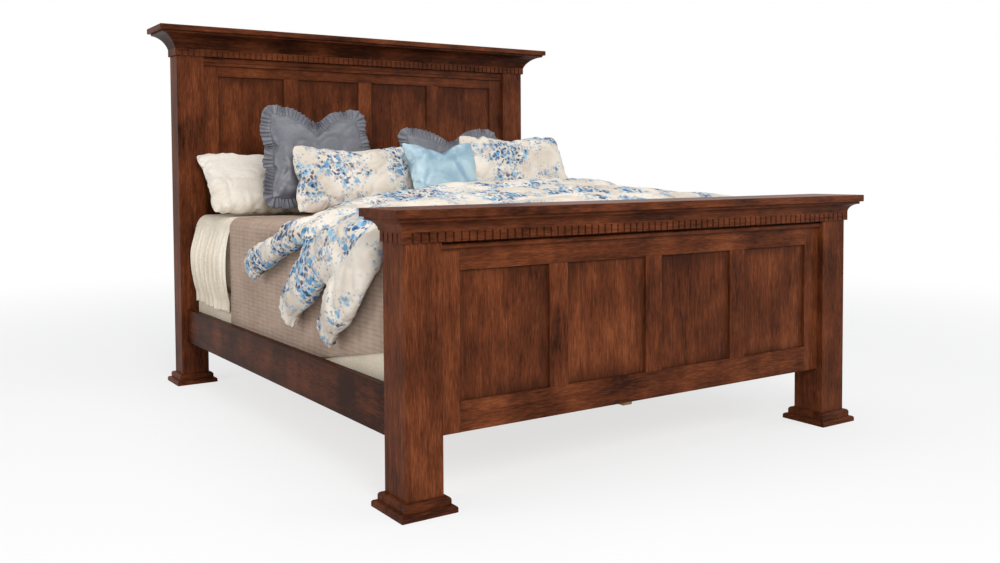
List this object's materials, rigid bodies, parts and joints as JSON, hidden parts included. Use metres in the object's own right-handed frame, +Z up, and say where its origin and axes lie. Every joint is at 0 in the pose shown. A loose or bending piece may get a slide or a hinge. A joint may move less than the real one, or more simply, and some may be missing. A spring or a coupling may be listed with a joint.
{
  "type": "panel bed",
  "caption": "King panel bed in dark stained wood with panelled headboard and footboard, dentil and cove mouldings, dressed with quilt, floral duvet and pillows",
  "frame": {"origin": "centre of the bed's bounding box on the floor", "axes": "X runs across the bed, +X to the right as seen from the foot; +Y runs from the footboard to the headboard; +Z is up"},
  "size_m": [2.292, 2.415, 1.75],
  "materials": {
    "stained_wood": "satin stained cherry-brown",
    "plain_wood": "unfinished softwood",
    "zinc_steel": "zinc plated",
    "dark_plastic": "moulded",
    "ticking": "woven cream cover",
    "taupe_quilting": "quilted in lines",
    "cream_cotton": "plain weave",
    "printed_cotton": "cream with scattered blue blossoms",
    "white_cotton": "plain weave",
    "grey_linen": "plain with ruffled border",
    "blue_satin": "light satin sheen"
  },
  "bodies": {
    "bed": {"foot_post_left": "stained_wood", "foot_post_right": "stained_wood", "foot_plinth_left": "stained_wood", "foot_plinth_right": "stained_wood", "footboard_stile_left": "stained_wood", "footboard_stile_right": "stained_wood", "footboard_bottom_rail": "stained_wood", "footboard_top_rail": "stained_wood", "footboard_muntins": "stained_wood", "footboard_panel_1": "stained_wood", "footboard_panel_2": "stained_wood", "footboard_panel_3": "stained_wood", "footboard_panel_4": "stained_wood", "footboard_crown": "stained_wood", "footboard_dentils": "stained_wood", "footboard_cap": "stained_wood", "head_post_left": "stained_wood", "head_post_right": "stained_wood", "head_plinth_left": "stained_wood", "head_plinth_right": "stained_wood", "headboard_stile_left": "stained_wood", "headboard_stile_right": "stained_wood", "headboard_bottom_rail": "stained_wood", "headboard_top_rail": "stained_wood", "headboard_muntins": "stained_wood", "headboard_panel_1": "stained_wood", "headboard_panel_2": "stained_wood", "headboard_panel_3": "stained_wood", "headboard_panel_4": "stained_wood", "headboard_crown": "stained_wood", "headboard_dentils": "stained_wood", "headboard_cap": "stained_wood", "footboard_friezes": "stained_wood", "footboard_bead": "stained_wood", "headboard_frieze": "stained_wood", "headboard_mould": "stained_wood", "side_rail_left": "stained_wood", "side_rail_right": "stained_wood", "ledger_left": "plain_wood", "ledger_right": "plain_wood", "slats": "plain_wood", "centre_beam": "plain_wood", "centre_legs": "plain_wood", "rail_hooks": "zinc_steel", "post_hook_plates": "zinc_steel", "ledger_screws": "zinc_steel", "leg_glides": "dark_plastic", "foundation_left": "ticking", "foundation_right": "ticking", "mattress": "ticking", "quilt": "taupe_quilting", "sheet": "cream_cotton"},
    "duvet_body": {"duvet": "printed_cotton"},
    "white_pillow_left_body": {"white_pillow_left": "white_cotton"},
    "white_pillow_right_body": {"white_pillow_right": "white_cotton"},
    "grey_sham_left_body": {"grey_sham_left": "grey_linen"},
    "grey_sham_right_body": {"grey_sham_right": "grey_linen"},
    "floral_sham_left_body": {"floral_sham_left": "printed_cotton"},
    "floral_sham_right_body": {"floral_sham_right": "printed_cotton"},
    "blue_pillow_body": {"blue_pillow": "blue_satin"}
  },
  "joints": [
    {"name": "duvet_lift", "type": "slide", "parent": "bed", "child": "duvet_body", "axis": [0, 0, 1], "range_m": [0, 0.6]},
    {"name": "white_pillow_left_lift", "type": "slide", "parent": "bed", "child": "white_pillow_left_body", "axis": [0, -0.5, 0.866], "range_m": [0, 0.6]},
    {"name": "white_pillow_right_lift", "type": "slide", "parent": "white_pillow_left_body", "child": "white_pillow_right_body", "axis": [0, -0.5, 0.866], "range_m": [0, 0.6]},
    {"name": "grey_sham_left_lift", "type": "slide", "parent": "white_pillow_right_body", "child": "grey_sham_left_body", "axis": [0, -0.5, 0.866], "range_m": [0, 0.6]},
    {"name": "grey_sham_right_lift", "type": "slide", "parent": "grey_sham_left_body", "child": "grey_sham_right_body", "axis": [0, -0.5, 0.866], "range_m": [0, 0.6]},
    {"name": "floral_sham_left_lift", "type": "slide", "parent": "grey_sham_right_body", "child": "floral_sham_left_body", "axis": [0, -0.5, 0.866], "range_m": [0, 0.6]},
    {"name": "floral_sham_right_lift", "type": "slide", "parent": "floral_sham_left_body", "child": "floral_sham_right_body", "axis": [0, -0.5, 0.866], "range_m": [0, 0.6]},
    {"name": "blue_pillow_lift", "type": "slide", "parent": "floral_sham_right_body", "child": "blue_pillow_body", "axis": [0, -0.5, 0.866], "range_m": [0, 0.6]}
  ]
}
